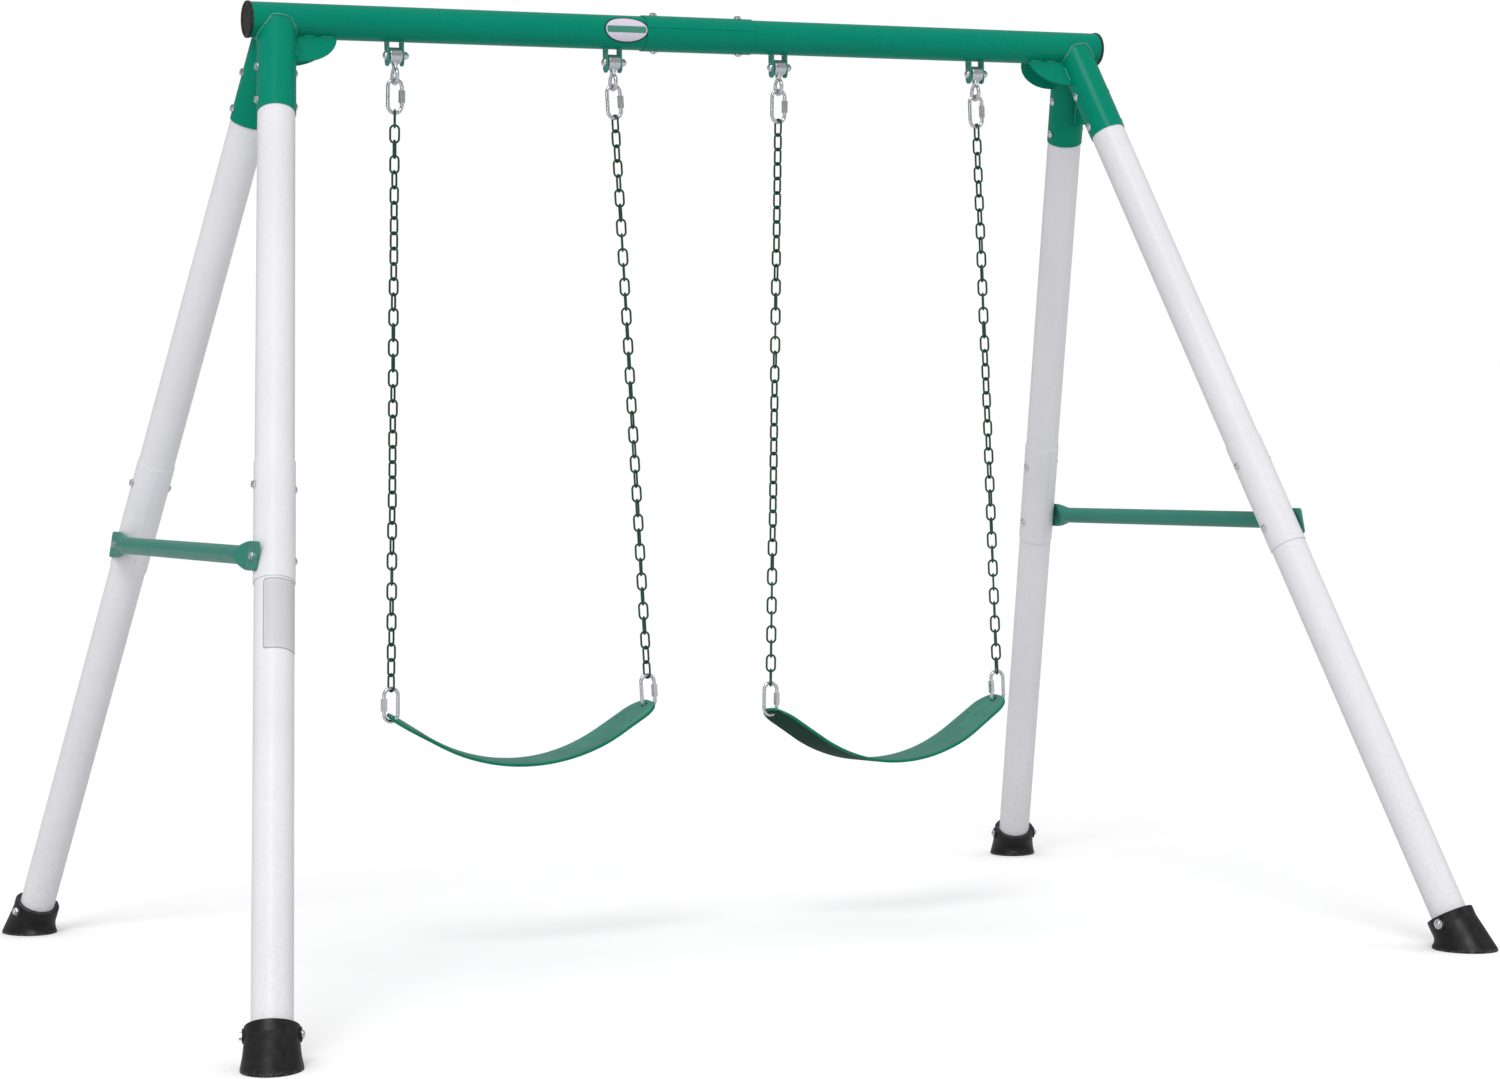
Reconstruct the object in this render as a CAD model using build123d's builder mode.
from build123d import *
import math
import os

# Swing set: two belt swings on a bolted steel A-frame.
# Millimetres. +Z up, +X right along the beam, +Y to the rear.
# Origin on the ground, under the middle of the beam.
# In names, _R is an outside radius unless noted, and _T a thickness.

os.makedirs("parts", exist_ok=True)

# ---------------------------------------------------------------- shared dimensions
FIT = 0.05               # gap between neighbouring pieces
SEAT_GAP = 0.1           # gap under a bolt head, nut or flattened bar end
THREAD_GAP = 0.06        # gap between a nut's bore and its bolt
CUT = 60.0               # a cut through a tube starts this far from its axis

BEAM_Z = 1968.4          # height of the beam axis
BEAM_R = 36.5
BEAM_WALL = 2.0
BEAM_HALF = 998.0        # tube end from the middle
BEAM_GAP = 1.0           # half of the gap between the two tube halves
BEAM_BORE_R = BEAM_R - BEAM_WALL
BEAM_SLEEVE_HALF = 128.0
BEAM_SLEEVE_R = 38.5
BEAM_BOLT_X = 100.0

LEG_TOP_X = 938.2        # where the leg axes cross the beam axis
FOOT_X = 1283.9          # where the leg axes meet the ground
FOOT_Y = 959.4
LEG_SPREAD = FOOT_X - LEG_TOP_X
LEG_LEN = math.sqrt(LEG_SPREAD ** 2 + FOOT_Y ** 2 + BEAM_Z ** 2)
LEG_R = 38.1
LEG_WALL = 2.0
LEG_GAP = 0.5            # half of the gap between upper and lower leg
SOCKET_R = 40.0          # sockets and leg sleeves

# distances along a leg axis, measured from the beam axis
SOCKET_TOP = 12.0
SOCKET_END = 226.0
UPPER_LEG_TOP = 100.0
LEG_SPLIT = 1145.5
LOWER_LEG_END = 2188.0
SOCKET_BOLTS = (122.5, 202.3)
SLEEVE_BOLT = 1070.6
CROSS_BOLT = 1222.0
BOOT_BOLT = 2154.0

BOLT_R = 4.0             # M8 frame bolts
HOLE_R = BOLT_R + 0.3
BAR_FLAT = 4.0           # thickness of a cross bar's flattened ends

HANGER_X = (-686.8, -196.1, 196.1, 686.8)
PIVOT_Z = 1903.8
PIVOT_R = 5.0            # M10 pivot bolt
WIRE_R = 4.0             # eye rings and quick links
EYE_Z = 1862.0           # centre of the eye ring
EYE_C = 16.0             # centre-line radius of the eye ring

Y_AXIS = Vector(0, 1, 0)
UP = Vector(0, 0, 1)
SIDES = {"left": -1, "right": 1}
# leg: (side along X, side along Y)
LEGS = {
    "front_left": (-1, -1),
    "rear_left": (-1, 1),
    "front_right": (1, -1),
    "rear_right": (1, 1),
}


def save(builder, label):
    builder.part.label = label
    export_step(builder.part, f"parts/{label}.step")


def placed(part, planes):
    """Copies of a part on every plane."""
    with BuildPart() as group:
        with Locations(*planes):
            add(part)
    return group


# ---------------------------------------------------------------- reference planes
def across_beam(x, z=BEAM_Z, facing=1):
    """Square to the beam, z towards +X or -X."""
    return Plane(origin=(x, 0, z), x_dir=(0, 1, 0), z_dir=(facing, 0, 0))


def leg_dir(leg):
    """Direction down the leg."""
    x_side, y_side = leg
    return Vector(x_side * LEG_SPREAD, y_side * FOOT_Y, -BEAM_Z) / LEG_LEN


def side_normal(x_side):
    """Outward normal of the plane that holds both legs of one A-frame."""
    normal = Vector(x_side * BEAM_Z, 0, LEG_SPREAD)
    return normal / normal.length


def leg_point(leg, dist, out=0.0):
    top = Vector(leg[0] * LEG_TOP_X, 0, BEAM_Z)
    return top + leg_dir(leg) * dist + side_normal(leg[0]) * out


def leg_plane(leg, dist):
    """Square to the leg, z down the leg, x outward from the A-frame."""
    return Plane(origin=leg_point(leg, dist), x_dir=side_normal(leg[0]), z_dir=leg_dir(leg))


def bolt_plane(leg, dist, out=-CUT, facing=1):
    """z along a leg bolt: outward from the A-frame, or inward where facing is -1."""
    return Plane(
        origin=leg_point(leg, dist, out),
        x_dir=leg_dir(leg),
        z_dir=side_normal(leg[0]) * facing,
    )


def boot_plane(leg, out=-CUT, facing=1):
    """z along a boot bolt, which is level, square to the leg and points outward."""
    x_side, y_side = leg
    axis = Vector(x_side * FOOT_Y, -y_side * LEG_SPREAD, 0) / math.hypot(FOOT_Y, LEG_SPREAD)
    return Plane(
        origin=leg_point(leg, BOOT_BOLT) + axis * out,
        x_dir=leg_dir(leg),
        z_dir=axis * facing,
    )


# ---------------------------------------------------------------- beam
CAP_R = 38.2
CAP_T = 5.8
CAP_ROUND = 2.6
CAP_DISH_R = 31.0        # shallow dish in the outer face
CAP_DISH_DEPTH = 0.9
SPIGOT_WALL = 2.9
SPIGOT_LEN = 24
CAP_RIB_T = 2.2
CAP_RIB_LEN = 18

SEAM_ANGLE = math.radians(12)  # height of the beam sleeve's seam above its front line
SEAM_W = 1.0
SEAM_DEPTH = 0.9


def beam_tube(x_side):
    with BuildPart() as tube:
        with BuildSketch(across_beam(x_side * BEAM_GAP, facing=x_side)):
            Circle(BEAM_R)
            Circle(BEAM_BORE_R, mode=Mode.SUBTRACT)
        extrude(amount=BEAM_HALF - BEAM_GAP)
        with BuildSketch(Plane(origin=(x_side * BEAM_BOLT_X, 0, BEAM_Z - CUT))):
            Circle(HOLE_R)
        extrude(amount=2 * CUT, mode=Mode.SUBTRACT)
    return tube


def end_cap(x_side):
    """Rounded flange outside, hollow ribbed spigot inside the tube."""
    face_x = BEAM_HALF + FIT
    rib_span = 2 * BEAM_BORE_R - 4
    with BuildPart() as cap:
        with BuildSketch(across_beam(x_side * face_x, facing=x_side)):
            Circle(CAP_R)
        extrude(amount=CAP_T)
        rim = cap.faces().sort_by(Axis.X)[-1 if x_side > 0 else 0].edges()
        fillet(rim, CAP_ROUND)
        with BuildSketch(across_beam(x_side * (face_x + CAP_T), facing=-x_side)):
            Circle(CAP_DISH_R)
        extrude(amount=CAP_DISH_DEPTH, taper=20, mode=Mode.SUBTRACT)
        with BuildSketch(across_beam(x_side * face_x, facing=-x_side)):
            Circle(BEAM_BORE_R - 0.1)
            Circle(BEAM_BORE_R - 0.1 - SPIGOT_WALL, mode=Mode.SUBTRACT)
        extrude(amount=SPIGOT_LEN)
        with BuildSketch(across_beam(x_side * face_x, facing=-x_side)):
            Rectangle(rib_span, CAP_RIB_T)
            Rectangle(CAP_RIB_T, rib_span)
        extrude(amount=CAP_RIB_LEN)
    return cap


def beam_coupling_sleeve():
    """Rolled sleeve over the joint, with its seam and two vertical bolt holes."""
    cos_seam, sin_seam = math.cos(SEAM_ANGLE), math.sin(SEAM_ANGLE)
    seam_plane = Plane(
        origin=(0, -BEAM_SLEEVE_R * cos_seam, BEAM_Z + BEAM_SLEEVE_R * sin_seam),
        x_dir=(1, 0, 0),
        z_dir=(0, cos_seam, -sin_seam),
    )
    with BuildPart() as sleeve:
        with BuildSketch(across_beam(-BEAM_SLEEVE_HALF)):
            Circle(BEAM_SLEEVE_R)
            Circle(BEAM_R + 0.1, mode=Mode.SUBTRACT)
        extrude(amount=2 * BEAM_SLEEVE_HALF)
        with BuildSketch(seam_plane):
            Rectangle(2 * BEAM_SLEEVE_HALF + 2, SEAM_W)
        extrude(amount=SEAM_DEPTH, both=True, mode=Mode.SUBTRACT)
        for bolt_x in (-BEAM_BOLT_X, BEAM_BOLT_X):
            with BuildSketch(Plane(origin=(bolt_x, 0, BEAM_Z - CUT))):
                Circle(HOLE_R)
            extrude(amount=2 * CUT, mode=Mode.SUBTRACT)
    return sleeve


for name, x_side in SIDES.items():
    save(beam_tube(x_side), f"beam_tube_{name}")
    save(end_cap(x_side), f"end_cap_{name}")
save(beam_coupling_sleeve(), "beam_coupling_sleeve")

# ---------------------------------------------------------------- sockets, gussets, webs
PLATE_HALF_T = 2.0       # half thickness of gussets and webs
GUSSET_ROOT = 33.0       # centre of the curved edge, along the beam from the leg axis
GUSSET_REACH = 88.0      # semi-axes of the curved edge, along and away from the beam
GUSSET_DROP = 61.0
GUSSET_CHAMFER = 9.0     # corner between beam and socket
WEB_TOP = 96.0           # from the beam axis down the A-frame's plane
WEB_LOW = 175.0


def leg_socket(leg):
    x_side, y_side = leg
    mitre = Plane(origin=(0, y_side * FIT, 0), x_dir=(1, 0, 0), z_dir=(0, y_side, 0))
    with BuildPart() as socket:
        with BuildSketch(leg_plane(leg, SOCKET_TOP)):
            Circle(SOCKET_R)
            Circle(LEG_R + 0.3, mode=Mode.SUBTRACT)
        extrude(amount=SOCKET_END - SOCKET_TOP)
        # saddle round the beam, and a mitre against the other socket
        with BuildSketch(across_beam(x_side * 700, facing=x_side)):
            Circle(BEAM_R + FIT)
        extrude(amount=400, mode=Mode.SUBTRACT)
        split(bisect_by=mitre, keep=Keep.TOP)
        for dist in SOCKET_BOLTS:
            with BuildSketch(bolt_plane(leg, dist)):
                Circle(HOLE_R)
            extrude(amount=2 * CUT, mode=Mode.SUBTRACT)
    return socket


def gusset_plates():
    """Four plates in the corners between beam and sockets, towards the middle of the set."""
    with BuildPart() as gussets:
        for leg in LEGS.values():
            x_side = leg[0]
            down = leg_dir(leg)
            slope_yz = math.sqrt(down.Y ** 2 + down.Z ** 2)
            inward = Vector(-x_side, 0, 0)
            away = Vector(0, down.Y / slope_yz, down.Z / slope_yz)
            plate = Plane(
                origin=(x_side * LEG_TOP_X, 0, BEAM_Z),
                x_dir=inward,
                z_dir=inward.cross(away),
            )
            near = BEAM_R + FIT
            notch = near + GUSSET_CHAMFER
            far = near + GUSSET_DROP

            def socket_edge(y):
                """Sketch x of the socket's surface at sketch y."""
                return (SOCKET_R + FIT - abs(down.X) * y) / slope_yz

            corner = (socket_edge(near) + GUSSET_CHAMFER, near)
            with BuildSketch(plate):
                with BuildLine():
                    Line((socket_edge(notch), notch), corner)
                    Line(corner, (GUSSET_ROOT + GUSSET_REACH, near))
                    EllipticalCenterArc(
                        (GUSSET_ROOT, near), GUSSET_REACH, GUSSET_DROP, 0, arc_size=90
                    )
                    Line((GUSSET_ROOT, far), (socket_edge(far), far))
                    Line((socket_edge(far), far), (socket_edge(notch), notch))
                make_face()
            extrude(amount=PLATE_HALF_T, both=True)
        # nothing of a plate reaches into the beam or its socket
        with BuildSketch(across_beam(-1100)):
            Circle(BEAM_R + FIT)
        extrude(amount=2200, mode=Mode.SUBTRACT)
        for leg in LEGS.values():
            with BuildSketch(leg_plane(leg, 0)):
                Circle(SOCKET_R + FIT)
            extrude(amount=300, mode=Mode.SUBTRACT)
    return gussets


def socket_webs():
    """A trapezoid plate between the front and rear socket of each A-frame."""
    half_angle = math.asin(FOOT_Y / LEG_LEN)
    top_w, low_w = (
        drop * math.tan(half_angle) - (SOCKET_R + 0.06) / math.cos(half_angle)
        for drop in (WEB_TOP, WEB_LOW)
    )
    with BuildPart() as webs:
        for x_side in (-1, 1):
            top_y = -x_side * WEB_TOP  # the sketch's y runs up on the right, down on the left
            low_y = -x_side * WEB_LOW
            with BuildSketch(Plane(
                origin=(x_side * LEG_TOP_X, 0, BEAM_Z),
                x_dir=(0, 1, 0),
                z_dir=side_normal(x_side),
            )):
                with BuildLine():
                    Polyline(
                        (-top_w, top_y), (top_w, top_y), (low_w, low_y), (-low_w, low_y),
                        close=True,
                    )
                make_face()
            extrude(amount=PLATE_HALF_T, both=True)
        for leg in LEGS.values():
            with BuildSketch(leg_plane(leg, 0)):
                Circle(SOCKET_R + FIT)
            extrude(amount=300, mode=Mode.SUBTRACT)
    return webs


for name, leg in LEGS.items():
    save(leg_socket(leg), f"leg_socket_{name}")
save(gusset_plates(), "gusset_plates")
save(socket_webs(), "socket_webs")

# ---------------------------------------------------------------- legs and leg sleeves
SLEEVE_HALF = 127.5
LEG_SEAM_W = 0.8
LEG_SEAM_DEPTH = 0.7
SEAM_STEP_AT = 38        # step across the seam, from the sleeve's middle
SEAM_STEP = (1.4, 15)


def leg_tube(leg, start, end, hole_planes):
    with BuildPart() as tube:
        with BuildSketch(leg_plane(leg, start)):
            Circle(LEG_R)
            Circle(LEG_R - LEG_WALL, mode=Mode.SUBTRACT)
        extrude(amount=end - start)
        for hole_plane in hole_planes:
            with BuildSketch(hole_plane):
                Circle(HOLE_R)
            extrude(amount=2 * CUT, mode=Mode.SUBTRACT)
    return tube


def leg_sleeve(leg):
    x_side, y_side = leg
    to_other_leg = side_normal(x_side).cross(leg_dir(leg)) * (-x_side * y_side)
    seam_plane = Plane(
        origin=leg_point(leg, LEG_SPLIT) + to_other_leg * SOCKET_R,
        x_dir=leg_dir(leg),
        z_dir=to_other_leg,
    )
    with BuildPart() as sleeve:
        with BuildSketch(leg_plane(leg, LEG_SPLIT - SLEEVE_HALF)):
            Circle(SOCKET_R)
            Circle(LEG_R + 0.2, mode=Mode.SUBTRACT)
        extrude(amount=2 * SLEEVE_HALF)
        for dist in (SLEEVE_BOLT, CROSS_BOLT):
            with BuildSketch(bolt_plane(leg, dist)):
                Circle(HOLE_R)
            extrude(amount=2 * CUT, mode=Mode.SUBTRACT)
        # seam on the face turned to the other leg, with the short step of its interlock
        with BuildSketch(seam_plane):
            Rectangle(2 * SLEEVE_HALF + 2, LEG_SEAM_W)
            with Locations((SEAM_STEP_AT, 0)):
                Rectangle(*SEAM_STEP)
        extrude(amount=LEG_SEAM_DEPTH, both=True, mode=Mode.SUBTRACT)
    return sleeve


for name, leg in LEGS.items():
    upper_holes = [bolt_plane(leg, dist) for dist in (*SOCKET_BOLTS, SLEEVE_BOLT)]
    upper_leg = leg_tube(leg, UPPER_LEG_TOP, LEG_SPLIT - LEG_GAP, upper_holes)
    save(upper_leg, f"upper_leg_{name}")
    lower_holes = [bolt_plane(leg, CROSS_BOLT), boot_plane(leg)]
    lower_leg = leg_tube(leg, LEG_SPLIT + LEG_GAP, LOWER_LEG_END, lower_holes)
    save(lower_leg, f"lower_leg_{name}")
    save(leg_sleeve(leg), f"leg_sleeve_{name}")

# ---------------------------------------------------------------- cross bars
BAR_R = 18.0
BAR_WALL = 1.8
BAR_FLAT_W = 56.4
BAR_END = 29.0           # reach of the flat end past the bolt
BAR_BORE_FROM = 90       # the bore starts this far inside the bolt
DRAIN_R = 3.0
# pressed tube: distance from the bolt towards the middle, height, thickness
BAR_STATIONS = (
    (26.0, BAR_FLAT_W, BAR_FLAT),
    (38.0, 55.0, 8.6),
    (56.0, 48.6, 21.0),
    (74.0, 40.0, 31.6),
    (88.0, 2 * BAR_R + 0.4, 2 * BAR_R),
)


def cross_bar(x_side):
    """Tube along Y between the legs of one A-frame, on its outer side."""
    normal = side_normal(x_side)
    bar_up = normal.cross(Y_AXIS) * x_side
    bolt_y = FOOT_Y / LEG_LEN * CROSS_BOLT
    at_bolt = leg_point((x_side, 1), CROSS_BOLT, SOCKET_R + SEAT_GAP + BAR_FLAT / 2)
    centre = Vector(at_bolt.X, 0, at_bolt.Z)
    flat_from, *flat_size = BAR_STATIONS[0]
    round_from, *round_size = BAR_STATIONS[-1]

    def section(y, facing=1):
        return Plane(origin=centre + Y_AXIS * y, x_dir=bar_up, z_dir=(0, facing, 0))

    def side_on(y, out=0.0):
        return Plane(
            origin=centre + Y_AXIS * y + normal * out, x_dir=(0, 1, 0), z_dir=normal
        )

    with BuildPart() as bar:
        for y_side in (-1, 1):
            for dist, high, thick in BAR_STATIONS:
                with BuildSketch(section(y_side * (bolt_y - dist), y_side)):
                    SlotOverall(high, thick)
            loft()
            # the tube's end, pressed flat
            with BuildSketch(section(y_side * (bolt_y - flat_from), y_side)):
                SlotOverall(*flat_size)
            extrude(amount=flat_from + BAR_END)
        with BuildSketch(section(round_from - bolt_y)):
            SlotOverall(*round_size)
        extrude(amount=2 * (bolt_y - round_from))
        for y_side in (-1, 1):
            # rounded corners of the flat end
            with BuildSketch(side_on(y_side * (bolt_y + BAR_END))):
                Rectangle(18, 64)
                with Locations((-y_side * 20, 0)):
                    RectangleRounded(40, BAR_FLAT_W + 0.8, 8.0, mode=Mode.SUBTRACT)
            extrude(amount=12, both=True, mode=Mode.SUBTRACT)
        with BuildSketch(section(BAR_BORE_FROM - bolt_y)):
            Circle(BAR_R - BAR_WALL)
        extrude(amount=2 * (bolt_y - BAR_BORE_FROM), mode=Mode.SUBTRACT)
        # drain hole in the underside
        with BuildSketch(Plane(origin=centre, x_dir=(0, 1, 0), z_dir=bar_up * -1)):
            Circle(DRAIN_R)
        extrude(amount=30, mode=Mode.SUBTRACT)
        for y_side in (-1, 1):
            with BuildSketch(side_on(y_side * bolt_y, -20)):
                Circle(HOLE_R)
            extrude(amount=40, mode=Mode.SUBTRACT)
    return bar


for name, x_side in SIDES.items():
    save(cross_bar(x_side), f"cross_bar_{name}")

# ---------------------------------------------------------------- boots
BOOT_RIM = 2138.0        # rim and collar: distances along the leg axis
BOOT_COLLAR = 2160.0
BOOT_R = 50.0
BOOT_BASE = (56.5, 72.0)  # semi-axes of the footprint, across and along the splay
BOOT_SOLE = 4.0
WAIST_AXES = (51.8, 57.0)
WAIST_Z = 27.0
WAIST_SHIFT = -10.0      # from the foot point, along the splay
WAIST_TILT = math.radians(11.5)
BOSS_R = 15.0
BOSS_FROM = 42.0         # from the leg axis
BOSS_HEIGHT = 10.5


def foot_boot(leg):
    x_side, y_side = leg
    down = leg_dir(leg)
    foot = Vector(x_side * FOOT_X, y_side * FOOT_Y, 0)
    splay = Vector(down.X, down.Y, 0)
    splay = splay / splay.length
    across = UP.cross(splay)
    rim = leg_point(leg, BOOT_RIM)
    waist = foot + splay * WAIST_SHIFT + UP * WAIST_Z
    waist_dir = splay * math.sin(WAIST_TILT) - UP * math.cos(WAIST_TILT)
    sole_plane = Plane(origin=foot + UP * BOOT_SOLE, x_dir=across, z_dir=UP * -1)
    with BuildPart() as boot:
        # body from the collar, through a partly tilted waist, to the level sole
        with BuildSketch(Plane(origin=leg_point(leg, BOOT_COLLAR), x_dir=across, z_dir=down)):
            Circle(BOOT_R)
        with BuildSketch(Plane(origin=waist, x_dir=across, z_dir=waist_dir)):
            Ellipse(*WAIST_AXES)
        with BuildSketch(sole_plane):
            Ellipse(*BOOT_BASE)
        loft()
        with BuildSketch(sole_plane):
            Ellipse(*BOOT_BASE)
        extrude(amount=BOOT_SOLE)
        with BuildSketch(Plane(origin=rim, x_dir=across, z_dir=down)):
            Circle(BOOT_R)
        extrude(amount=BOOT_COLLAR - BOOT_RIM)
        circles = boot.edges().filter_by(GeomType.CIRCLE)
        top_edge = circles.sort_by(lambda edge: (edge.center() - rim).length)[0]
        fillet(top_edge, 1.6)
        # bosses for the through bolt
        for side in (-1, 1):
            with BuildSketch(boot_plane(leg, side * BOSS_FROM, side)):
                Circle(BOSS_R)
            extrude(amount=BOSS_HEIGHT, taper=8)
        # room for the leg
        with BuildSketch(leg_plane(leg, BOOT_RIM - 40)):
            Circle(LEG_R + 0.2)
        extrude(amount=LOWER_LEG_END + 0.3 - BOOT_RIM + 40, mode=Mode.SUBTRACT)
        with BuildSketch(boot_plane(leg, -80)):
            Circle(HOLE_R)
        extrude(amount=160, mode=Mode.SUBTRACT)
    return boot


for name, leg in LEGS.items():
    save(foot_boot(leg), f"foot_boot_{name}")

# ---------------------------------------------------------------- frame fasteners
FLANGE_T = 1.5           # washer-like flange of every head and nut
# distances from the tube axis to the face under a head or nut
SOCKET_SEAT = SOCKET_R + SEAT_GAP
FLAT_SEAT = SOCKET_SEAT + BAR_FLAT + SEAT_GAP
BOOT_SEAT = BOSS_FROM + BOSS_HEIGHT + SEAT_GAP
BEAM_SEAT = BEAM_SLEEVE_R + SEAT_GAP
BOLT_END = 6.2           # from the nut's seat to the bolt's tip
CROSS_BOLT_LEN = 90.6


def dome_bolt(length, shank_r, head_r, head_h, flange_r):
    """Head above z = 0, shank below it."""
    chamfer = 0.6
    crown_r = 1.2
    shoulder = (head_r * 0.68, FLANGE_T + (head_h - FLANGE_T) * 0.8)
    with BuildPart() as bolt:
        with BuildSketch(Plane.XZ):
            with BuildLine():
                Polyline(
                    (0, -length),
                    (shank_r - chamfer, -length),
                    (shank_r, -length + chamfer),
                    (shank_r, 0),
                    (flange_r, 0),
                    (flange_r, FLANGE_T),
                    (head_r, FLANGE_T),
                )
                ThreePointArc((head_r, FLANGE_T), shoulder, (crown_r, head_h))
                Polyline((crown_r, head_h), (0, head_h), (0, -length))
            make_face()
        revolve(axis=Axis.Z)
    return bolt.part


def flange_nut(across_flats, height, bore_r, flange_r):
    """Stands on z = 0, its upper corners chamfered."""
    flat_r = across_flats / 2
    with BuildPart() as nut:
        with BuildSketch(Plane.XY):
            Circle(flange_r)
        extrude(amount=FLANGE_T)
        with BuildSketch(Plane.XY):
            RegularPolygon(flat_r, 6, major_radius=False)
        extrude(amount=height)
        with BuildSketch(Plane.XZ):
            with BuildLine():
                Polyline(
                    (flat_r - 0.2, height), (flat_r + 3, height), (flat_r + 3, height - 1.9),
                    close=True,
                )
            make_face()
        revolve(axis=Axis.Z, mode=Mode.SUBTRACT)
        with BuildSketch(Plane.XY.offset(-1)):
            Circle(bore_r)
        extrude(amount=height + 2, mode=Mode.SUBTRACT)
    return nut.part


def frame_bolt(length):
    return dome_bolt(length, BOLT_R, head_r=7.0, head_h=4.8, flange_r=8.6)


# heads on the inner side of each A-frame and under the beam, nuts opposite
leg_bolt_planes = [
    bolt_plane(leg, dist, -SOCKET_SEAT, -1)
    for leg in LEGS.values()
    for dist in (*SOCKET_BOLTS, SLEEVE_BOLT)
]
save(placed(frame_bolt(2 * SOCKET_SEAT + BOLT_END), leg_bolt_planes), "leg_bolts")

cross_bolt_planes = [bolt_plane(leg, CROSS_BOLT, -SOCKET_SEAT, -1) for leg in LEGS.values()]
save(placed(frame_bolt(CROSS_BOLT_LEN), cross_bolt_planes), "cross_bar_bolts")

boot_bolt = dome_bolt(2 * BOOT_SEAT + BOLT_END, BOLT_R, head_r=7.8, head_h=5.4, flange_r=10.0)
boot_bolt_planes = [boot_plane(leg, -BOOT_SEAT, -1) for leg in LEGS.values()]
save(placed(boot_bolt, boot_bolt_planes), "boot_bolts")

beam_bolt_planes = [
    Plane(origin=(x, 0, BEAM_Z - BEAM_SEAT), x_dir=(1, 0, 0), z_dir=(0, 0, -1))
    for x in (-BEAM_BOLT_X, BEAM_BOLT_X)
]
save(placed(frame_bolt(2 * BEAM_SEAT + BOLT_END), beam_bolt_planes), "beam_sleeve_bolts")

nut_seats = [(dist, SOCKET_SEAT) for dist in (*SOCKET_BOLTS, SLEEVE_BOLT)]
nut_seats.append((CROSS_BOLT, FLAT_SEAT))
nut_planes = [bolt_plane(leg, dist, out) for leg in LEGS.values() for dist, out in nut_seats]
nut_planes += [boot_plane(leg, BOOT_SEAT) for leg in LEGS.values()]
nut_planes += [
    Plane(origin=(x, 0, BEAM_Z + BEAM_SEAT), x_dir=(1, 0, 0), z_dir=(0, 0, 1))
    for x in (-BEAM_BOLT_X, BEAM_BOLT_X)
]
frame_nut = flange_nut(across_flats=13.0, height=5.6, bore_r=BOLT_R + THREAD_GAP, flange_r=8.4)
save(placed(frame_nut, nut_planes), "frame_nuts")

# ---------------------------------------------------------------- hangers
EAR_IN = 14.0            # inner face of an ear from the hanger's middle
EAR_T = 4.0
EAR_W = 22.0
EAR_LEN = 52.0           # straight part
EAR_RISE = 15.0          # middle of the straight part above the pivot
EAR_SEAT = EAR_IN + EAR_T + SEAT_GAP
BUSH_R = 8.0
BARREL_R = 17.0
BARREL_HALF = 13.0
BARREL_ROUND = 1.6
# neck: semi-axes along X and Y
NECK_TOP = (8.0, 10.5)
NECK_LOW = (4.4, 8.5)


def hanger_ears():
    """A pair of ears under the beam at each hanger."""
    with BuildPart() as ears:
        for hanger_x in HANGER_X:
            for side in (-1, 1):
                with BuildSketch(Plane(
                    origin=(hanger_x + side * EAR_IN, 0, PIVOT_Z),
                    x_dir=(0, side, 0),
                    z_dir=(side, 0, 0),
                )):
                    with Locations((0, EAR_RISE)):
                        Rectangle(EAR_W, EAR_LEN)
                    with Locations((0, EAR_RISE - EAR_LEN / 2)):
                        Circle(EAR_W / 2)
                    Circle(PIVOT_R + 0.1, mode=Mode.SUBTRACT)
                extrude(amount=EAR_T)
        with BuildSketch(across_beam(-1000)):
            Circle(BEAM_R + FIT)
        extrude(amount=2000, mode=Mode.SUBTRACT)
    return ears


def hanger_bushings():
    half = EAR_IN - 0.2
    with BuildPart() as bushings:
        for hanger_x in HANGER_X:
            with BuildSketch(across_beam(hanger_x - half, PIVOT_Z)):
                Circle(BUSH_R)
                Circle(PIVOT_R + FIT, mode=Mode.SUBTRACT)
            extrude(amount=2 * half)
    return bushings


def ring_hanger(hanger_x):
    """Barrel that turns on the bushing, neck, and eye ring in the YZ plane."""
    with BuildPart() as body:
        with BuildSketch(across_beam(hanger_x - BARREL_HALF, PIVOT_Z)):
            Circle(BARREL_R)
        extrude(amount=2 * BARREL_HALF)
        fillet(body.edges().filter_by(GeomType.CIRCLE), BARREL_ROUND)
        with BuildSketch(Plane(origin=(hanger_x, 0, PIVOT_Z - 8))):
            Ellipse(*NECK_TOP)
        with BuildSketch(Plane(origin=(hanger_x, 0, EYE_Z + EYE_C - 1.0))):
            Ellipse(*NECK_LOW)
        loft()
        with BuildSketch(Plane(origin=(hanger_x, 0, EYE_Z), x_dir=(0, 1, 0), z_dir=(0, 0, 1))):
            with Locations((EYE_C, 0)):
                Circle(WIRE_R)
        revolve(axis=Axis((hanger_x, 0, EYE_Z), (1, 0, 0)))
        with BuildSketch(across_beam(hanger_x - 20, PIVOT_Z)):
            Circle(BUSH_R + FIT)
        extrude(amount=40, mode=Mode.SUBTRACT)
    return body


save(hanger_ears(), "hanger_ears")
pivot_bolt = dome_bolt(
    2 * (EAR_IN + EAR_T) + 12.5, PIVOT_R, head_r=8.6, head_h=6.8, flange_r=10.2
)
pivot_heads = [across_beam(x - EAR_SEAT, PIVOT_Z, -1) for x in HANGER_X]
save(placed(pivot_bolt, pivot_heads), "hanger_pivot_bolts")
pivot_nut = flange_nut(
    across_flats=16.0, height=8.5, bore_r=PIVOT_R + THREAD_GAP, flange_r=10.4
)
pivot_nut_planes = [across_beam(x + EAR_SEAT, PIVOT_Z) for x in HANGER_X]
save(placed(pivot_nut, pivot_nut_planes), "hanger_pivot_nuts")
save(hanger_bushings(), "hanger_bushings")

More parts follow.
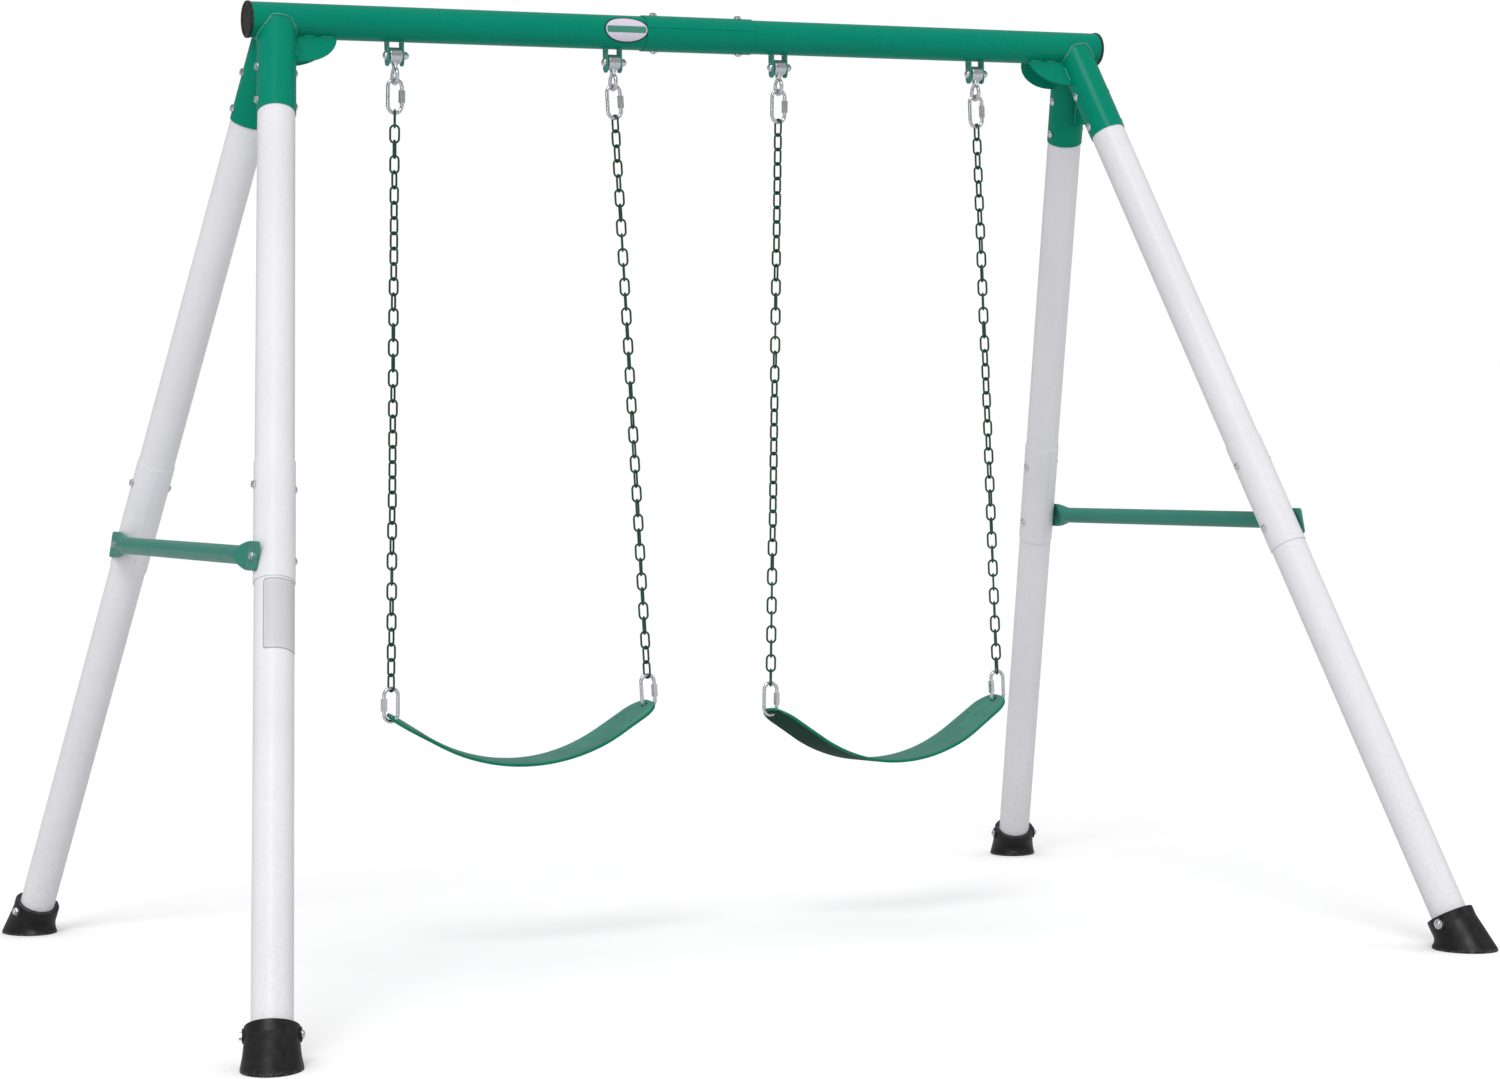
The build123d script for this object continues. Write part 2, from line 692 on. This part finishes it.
# ---------------------------------------------------------------- quick links and chain links
QUICK_C = 15.2           # quick link: centre-line radius of its round ends
QUICK_STRAIGHT = 39.1
QUICK_LEN = QUICK_STRAIGHT + 2 * QUICK_C
QUICK_INNER = QUICK_LEN - 2 * WIRE_R
QUICK_GAP = 9.0          # opening under the sleeve nut
QUICK_NUT_LEN = 26.0
QUICK_NUT_FLATS = 12.7

LINK_PITCH = 31.75
LINK_R = 2.25            # chain wire
LINK_C = 9.25            # centre-line radius of a link's round ends
LINK_SLACK = 0.1         # clearance at each end of a link


def wire_loop(bend_r, top, bottom, wire_r):
    """Oval loop in the XZ plane, its centre line from z = top down to z = bottom."""
    with BuildPart() as loop:
        with BuildLine():
            Line((bend_r, 0, top - bend_r), (bend_r, 0, bottom + bend_r))
            ThreePointArc(
                (bend_r, 0, bottom + bend_r), (0, 0, bottom), (-bend_r, 0, bottom + bend_r)
            )
            Line((-bend_r, 0, bottom + bend_r), (-bend_r, 0, top - bend_r))
            ThreePointArc((-bend_r, 0, top - bend_r), (0, 0, top), (bend_r, 0, top - bend_r))
        with BuildSketch(Plane(
            origin=(bend_r, 0, top - bend_r), x_dir=(1, 0, 0), z_dir=(0, 0, -1)
        )):
            Circle(wire_r)
        sweep()
    return loop.part


def quick_link():
    """Top centre line at z = 0; opening on the +X side."""
    with BuildPart() as link:
        add(wire_loop(QUICK_C, 0, -QUICK_LEN, WIRE_R))
        with BuildSketch(Plane(origin=(QUICK_C, 0, -QUICK_LEN / 2 - QUICK_GAP / 2))):
            Rectangle(12, 12)
        extrude(amount=QUICK_GAP, mode=Mode.SUBTRACT)
    return link.part


def quick_nut():
    with BuildPart() as nut:
        with BuildSketch(Plane(origin=(QUICK_C, 0, -QUICK_LEN / 2 - QUICK_NUT_LEN / 2))):
            RegularPolygon(QUICK_NUT_FLATS / 2, 6, major_radius=False)
            Circle(WIRE_R + THREAD_GAP, mode=Mode.SUBTRACT)
        extrude(amount=QUICK_NUT_LEN)
    return nut.part


def chain_link():
    """Upper inner surface at z = 0."""
    inner = LINK_PITCH + 2 * LINK_SLACK
    return wire_loop(LINK_C, LINK_R, -inner - LINK_R, LINK_R)


# ---------------------------------------------------------------- swing layout
# centre line of the upper quick link's top, just above the eye's inner bottom
CHAIN_TOP_Z = EYE_Z - EYE_C + WIRE_R + WIRE_R + 0.2
CHAIN_START = QUICK_INNER + WIRE_R - LINK_SLACK  # first chain link, below the chain top

# one entry for each swing, left swing first
SEAT_X = (-435.8, 431.4)       # middle of each belt, a little off its hangers' middle
LINKS = (38, 39)
BELT_ARC = (211.0, 206.0)      # half length of the round part of the sag
BELT_SLOPE = (30.9, 35.0)      # slope of the straight ends, degrees
LOWER_SPIN = ((180, 0), (0, 180))  # lower quick links about the chain line, degrees
# slow twist along the left and right chain: (link number, degrees)
CHAIN_TWIST = (
    (
        ((0, 16), (4, 46), (8, 65), (11, 45), (15, 25), (19, 45),
         (23, 65), (27, 45), (30, 25), (34, 47), (37, 70)),
        ((0, -16), (5, 6), (9, 25), (14, 33), (23, 40), (30, 33), (34, 36), (37, 68)),
    ),
    (
        ((0, -18), (7, -18), (10, 5), (14, 25), (19, 66), (27, 66), (31, 27), (38, 20)),
        ((0, 0), (4, 0), (12, 25), (17, 68), (22, 54), (29, 36), (38, 16)),
    ),
)

BELT_HOLE_S = 307.0      # from the belt's middle to a hole's centre, along the belt
BELT_TIP = 17.0          # from the hole's centre to the tip
RING_ANGLE = math.radians(38)  # where the lower quick link's bottom bend meets the hole


class SwingLayout:
    """Where one swing hangs: its belt's bend and the lean of its two chains."""

    def __init__(self, index):
        self.hangers = HANGER_X[2 * index:2 * index + 2]
        self.seat_x = SEAT_X[index]
        self.links = LINKS[index]
        self.lower_spin = LOWER_SPIN[index]
        self.twist = CHAIN_TWIST[index]
        self.slope = math.radians(BELT_SLOPE[index])
        self.bend_r = BELT_ARC[index] / self.slope
        straight = BELT_HOLE_S - BELT_ARC[index]
        cos_slope, sin_slope = math.cos(self.slope), math.sin(self.slope)
        self.hole_x = self.bend_r * sin_slope + straight * cos_slope
        sag = self.bend_r * (1 - cos_slope) + straight * sin_slope
        # tip relative to the belt's lowest point
        self.tip_x = self.hole_x + BELT_TIP * cos_slope
        self.tip_z = sag + BELT_TIP * sin_slope

        ring_x = self.hole_x + QUICK_C * math.sin(RING_ANGLE)
        run = self.links * LINK_PITCH + 2 * QUICK_INNER + 2 * WIRE_R
        self.leans = [
            math.asin((self.seat_x + side * ring_x - hanger_x) / run)
            for side, hanger_x in zip((-1, 1), self.hangers)
        ]
        ring_z = CHAIN_TOP_Z - run * sum(math.cos(lean) for lean in self.leans) / 2
        self.hole_z = ring_z + QUICK_C * (1 - math.cos(RING_ANGLE))
        self.low_z = self.hole_z - sag

    def chain_plane(self, chain, dist, spin=0.0):
        """On a chain's line, dist below its top; z up the chain, x turned by spin degrees."""
        lean = self.leans[chain]
        down = Vector(math.sin(lean), 0, -math.cos(lean))
        level = Vector(math.cos(lean), 0, math.sin(lean))
        turn = math.radians(spin)
        return Plane(
            origin=Vector(self.hangers[chain], 0, CHAIN_TOP_Z) + down * dist,
            x_dir=level * math.cos(turn) + Y_AXIS * math.sin(turn),
            z_dir=down * -1,
        )


def ramp(k, points):
    """Piecewise-linear value at k, which lies within the points."""
    for (k0, v0), (k1, v1) in zip(points, points[1:]):
        if k <= k1:
            return v0 + (v1 - v0) * (k - k0) / (k1 - k0)


# ---------------------------------------------------------------- belt seats
BELT_HALF_T = 3.25
BELT_W = 70.0            # half width in the middle
BELT_END_W = 56.0        # half width near an end
BELT_HOLE_R = 8.0
PIN_HOLE_R = 1.6
PIN_HOLES = ((-56, -36), (-56, 0), (-56, 36))  # from the large hole: along, across
INSERT_T = 2.0
POCKET_T = 2.3           # slot in the belt for an insert
# edge of one quarter: x as a share of the tip's, y
BELT_EDGE = (
    (0.34, BELT_W),
    (0.62, (BELT_W + BELT_END_W) / 2 + 1.5),
    (0.86, BELT_END_W - 2.5),
    (1.0, 0),
)


def belt_band(swing):
    """Even band bent to the belt's sag, wider than the belt."""
    slope, bend_r, half = swing.slope, swing.bend_r, BELT_HALF_T
    tip_x, tip_z = swing.tip_x, swing.tip_z
    cos_slope, sin_slope = math.cos(slope), math.sin(slope)
    # upper and lower corners of the right half; the left half mirrors them
    bend_up_x, bend_up_z = (bend_r - half) * sin_slope, bend_r - (bend_r - half) * cos_slope
    bend_low_x, bend_low_z = (bend_r + half) * sin_slope, bend_r - (bend_r + half) * cos_slope
    tip_up_x, tip_up_z = tip_x - sin_slope * half, tip_z + cos_slope * half
    tip_low_x, tip_low_z = tip_x + sin_slope * half, tip_z - cos_slope * half
    low_point = (swing.seat_x, 0, swing.low_z)
    with BuildPart() as band:
        with BuildSketch(Plane(origin=low_point, x_dir=(1, 0, 0), z_dir=(0, -1, 0))):
            with BuildLine():
                ThreePointArc((-bend_up_x, bend_up_z), (0, half), (bend_up_x, bend_up_z))
                Line((bend_up_x, bend_up_z), (tip_up_x, tip_up_z))
                Line((tip_up_x, tip_up_z), (tip_low_x, tip_low_z))
                Line((tip_low_x, tip_low_z), (bend_low_x, bend_low_z))
                ThreePointArc((bend_low_x, bend_low_z), (0, -half), (-bend_low_x, bend_low_z))
                Line((-bend_low_x, bend_low_z), (-tip_low_x, tip_low_z))
                Line((-tip_low_x, tip_low_z), (-tip_up_x, tip_up_z))
                Line((-tip_up_x, tip_up_z), (-bend_up_x, bend_up_z))
            make_face()
        extrude(amount=BELT_W + 2, both=True)
    return band.part


def belt_outline(swing):
    """Upright block with the belt's outline from above."""

    def edge(x_side, y_side):
        """Edge points of one quarter, from the middle out to the tip."""
        return [(x_side * share * swing.tip_x, y_side * y) for share, y in BELT_EDGE]

    with BuildPart() as outline:
        with BuildSketch(Plane(origin=(swing.seat_x, 0, swing.low_z - 40))):
            with BuildLine():
                Spline(*edge(-1, 1), tangents=((-1, 0), (0, -1)))
                Spline(*reversed(edge(-1, -1)), tangents=((0, -1), (1, 0)))
                Line(edge(-1, -1)[0], edge(1, -1)[0])
                Spline(*edge(1, -1), tangents=((1, 0), (0, 1)))
                Spline(*reversed(edge(1, 1)), tangents=((0, 1), (-1, 0)))
                Line(edge(1, 1)[0], edge(-1, 1)[0])
            make_face()
        extrude(amount=260)
    return outline.part


def belt_hole_planes(swing):
    """At each large hole, in the belt's middle surface: x towards the tip, z up."""
    cos_slope, sin_slope = math.cos(swing.slope), math.sin(swing.slope)
    return [
        Plane(
            origin=(swing.seat_x + side * swing.hole_x, 0, swing.hole_z),
            x_dir=(side * cos_slope, 0, sin_slope),
            z_dir=(-side * sin_slope, 0, cos_slope),
        )
        for side in (-1, 1)
    ]


def insert_points(grow_x=0.0, grow_y=0.0):
    """Trapezoid of an insert, or of its slightly larger pocket."""
    tip_x, tip_y = 11.5 + grow_x, 22 + grow_y
    root_x, root_y = -48 - grow_x, 42 + grow_y
    return (tip_x, -tip_y), (tip_x, tip_y), (root_x, root_y), (root_x, -root_y)


def seat_inserts(swing):
    """Stiffening insert in each end, inside the belt."""
    with BuildPart() as inserts:
        for hole_plane in belt_hole_planes(swing):
            with BuildSketch(hole_plane.offset(-INSERT_T / 2)):
                with BuildLine():
                    Polyline(*insert_points(), close=True)
                make_face()
                Circle(BELT_HOLE_R + 1.0, mode=Mode.SUBTRACT)
            extrude(amount=INSERT_T)
    return inserts


def belt_seat(swing):
    """Bent band narrowing to rounded ends, with pockets and holes."""
    band = belt_band(swing)
    outline = belt_outline(swing)
    with BuildPart() as belt:
        add(band)
        add(outline, mode=Mode.INTERSECT)
        for hole_plane in belt_hole_planes(swing):
            with BuildSketch(hole_plane.offset(-POCKET_T / 2)):
                with BuildLine():
                    Polyline(*insert_points(0.2, 0.3), close=True)
                make_face()
                Circle(BELT_HOLE_R - 0.5, mode=Mode.SUBTRACT)
            extrude(amount=POCKET_T, mode=Mode.SUBTRACT)
            with BuildSketch(hole_plane.offset(-10)):
                Circle(BELT_HOLE_R)
                # row of pin holes across the belt
                with Locations(*PIN_HOLES):
                    Circle(PIN_HOLE_R)
            extrude(amount=20, mode=Mode.SUBTRACT)
    return belt


# ---------------------------------------------------------------- swings
quick_link_part = quick_link()
quick_nut_part = quick_nut()
chain_link_part = chain_link()

for index in (0, 1):
    swing = SwingLayout(index)
    tag = f"swing{index + 1}"
    for name, hanger_x in zip(SIDES, swing.hangers):
        save(ring_hanger(hanger_x), f"{tag}_hanger_{name}")

    lower_top = QUICK_INNER + swing.links * LINK_PITCH
    upper_planes = [swing.chain_plane(chain, 0.0) for chain in (0, 1)]
    lower_planes = [
        swing.chain_plane(chain, lower_top, swing.lower_spin[chain]) for chain in (0, 1)
    ]
    save(placed(quick_link_part, upper_planes), f"{tag}_upper_quick_links")
    save(placed(quick_link_part, lower_planes), f"{tag}_lower_quick_links")
    save(placed(quick_nut_part, upper_planes + lower_planes), f"{tag}_quick_link_nuts")

    for chain, name in enumerate(SIDES):
        # every other link stands a quarter turn from its neighbours
        link_planes = [
            swing.chain_plane(
                chain,
                CHAIN_START + k * LINK_PITCH,
                90 + 90 * (k % 2) - ramp(k, swing.twist[chain]),
            )
            for k in range(swing.links)
        ]
        save(placed(chain_link_part, link_planes), f"{tag}_chain_{name}")

    save(belt_seat(swing), f"{tag}_belt_seat")
    save(seat_inserts(swing), f"{tag}_seat_inserts")
